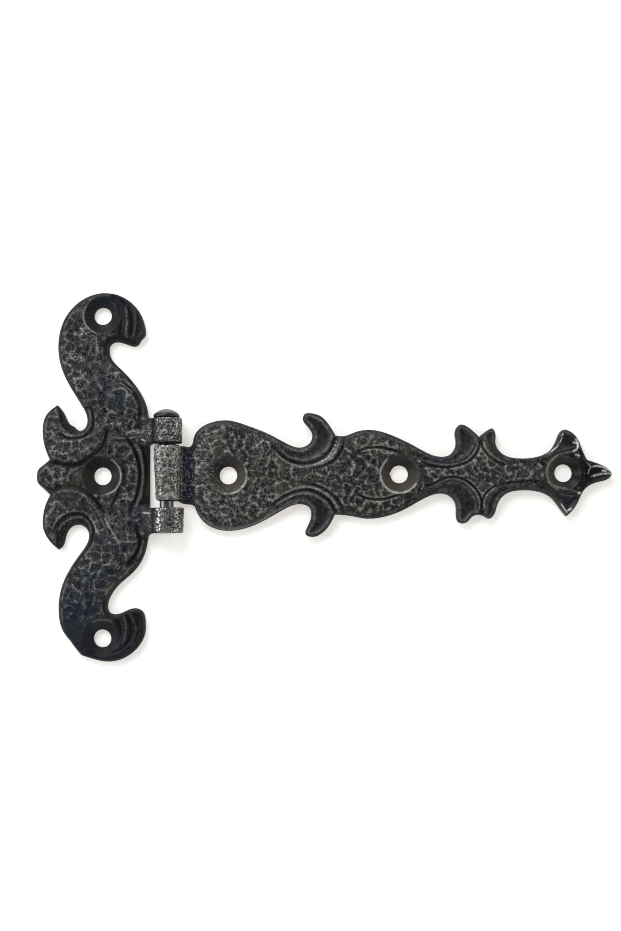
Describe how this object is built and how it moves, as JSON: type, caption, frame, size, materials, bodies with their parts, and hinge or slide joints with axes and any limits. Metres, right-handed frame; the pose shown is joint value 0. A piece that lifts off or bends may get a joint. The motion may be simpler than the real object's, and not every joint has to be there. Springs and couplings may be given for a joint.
{
  "type": "door hinge",
  "caption": "Ornamental cast-iron strap hinge: an upright scrolled frame leaf and a long pierced-edge strap that turns on a dome-headed pin.",
  "frame": {"origin": "centre of the frame leaf's middle screw hole, on the flat back that lies on the wood", "axes": "+X along the strap to its pointed end, +Y along the pin to its head, +Z out of the wood"},
  "size_m": [0.1787, 0.1149, 0.0084],
  "materials": {
    "frame_iron": "blackened, hammered relief, edges rubbed bright",
    "strap_iron": "blackened, hammered relief, edges rubbed bright",
    "pin_steel": "darkened, satin"
  },
  "bodies": {
    "frame_side": {"frame_leaf": "frame_iron", "hinge_pin": "pin_steel"},
    "strap_side": {"strap_leaf": "strap_iron"}
  },
  "joints": [
    {"name": "strap_swing", "type": "hinge", "parent": "frame_side", "child": "strap_side", "pos_m": [0.0202, 0, 0.0042], "axis": [0, -1, 0], "range_deg": [-100, 180]}
  ]
}
